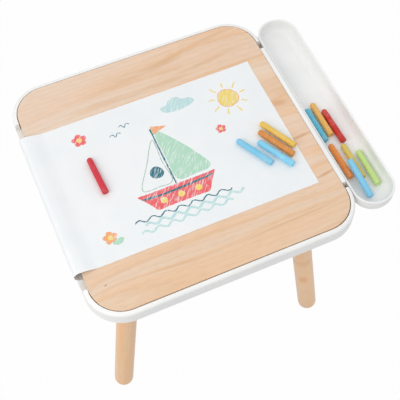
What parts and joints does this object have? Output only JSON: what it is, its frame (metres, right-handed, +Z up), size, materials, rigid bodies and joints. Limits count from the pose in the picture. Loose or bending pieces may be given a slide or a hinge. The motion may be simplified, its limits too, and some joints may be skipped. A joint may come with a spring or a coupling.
{
  "type": "kids table with storage",
  "caption": "Low children's table: lift-off wooden lid on a moulded storage tub with splayed legs, a paper roll feeding a sheet over the top, and a side tray of drawing sticks.",
  "frame": {"origin": "on the floor under the middle of the whole outline, side tray and paper curl included; the table's own middle is 39.7 mm to the left of it", "axes": "+X from the paper curl towards the side tray, +Y from the front edge to the back edge, +Z up from the floor"},
  "size_m": [0.6048, 0.524, 0.4929],
  "materials": {
    "tabletop_wood": "satin clear lacquer on pale pine",
    "leg_wood": "satin clear lacquer on turned hardwood",
    "white_plastic": "satin moulded",
    "zinc_steel": "zinc plated",
    "insert_brass": "machined",
    "felt_pad": "pressed felt",
    "cardboard": null,
    "paper": null,
    "chalk_red": "waxy",
    "chalk_yellow": "waxy",
    "chalk_orange": "waxy",
    "chalk_brown": "waxy",
    "chalk_sky": "waxy",
    "chalk_teal": "waxy",
    "chalk_green": "waxy"
  },
  "bodies": {
    "table": {"tub": "white_plastic", "leg_front_left": "leg_wood", "leg_front_right": "leg_wood", "leg_back_left": "leg_wood", "leg_back_right": "leg_wood", "leg_inserts": "insert_brass", "leg_bolts": "zinc_steel", "leg_washers": "zinc_steel", "roll_dowel": "leg_wood"},
    "lid": {"lid_board": "tabletop_wood", "lid_batten_left": "tabletop_wood", "lid_batten_right": "tabletop_wood", "batten_screws": "zinc_steel", "lid_pads": "felt_pad", "paper_sheet": "paper", "lid_stick_red": "chalk_red", "lid_stick_yellow": "chalk_yellow", "lid_stick_orange": "chalk_orange", "lid_stick_blue": "chalk_sky", "lid_stick_sky": "chalk_sky"},
    "tray": {"side_tray": "white_plastic", "tray_stick_teal": "chalk_teal", "tray_stick_yellow": "chalk_yellow", "tray_stick_red": "chalk_red", "tray_stick_brown": "chalk_brown", "tray_stick_gold": "chalk_yellow", "tray_stick_sky": "chalk_sky", "tray_stick_green": "chalk_green"},
    "roll": {"roll_core": "cardboard", "paper_roll": "paper"}
  },
  "joints": [
    {"name": "lid_lift", "type": "slide", "parent": "table", "child": "lid", "axis": [0, 0, 1], "range_m": [0, 0.12]},
    {"name": "tray_lift", "type": "slide", "parent": "table", "child": "tray", "axis": [0, 0, 1], "range_m": [0, 0.06]},
    {"name": "roll_spin", "type": "hinge", "parent": "table", "child": "roll", "pos_m": [-0.24565, -0.0055, 0.428], "axis": [0, 1, 0], "continuous": true}
  ]
}
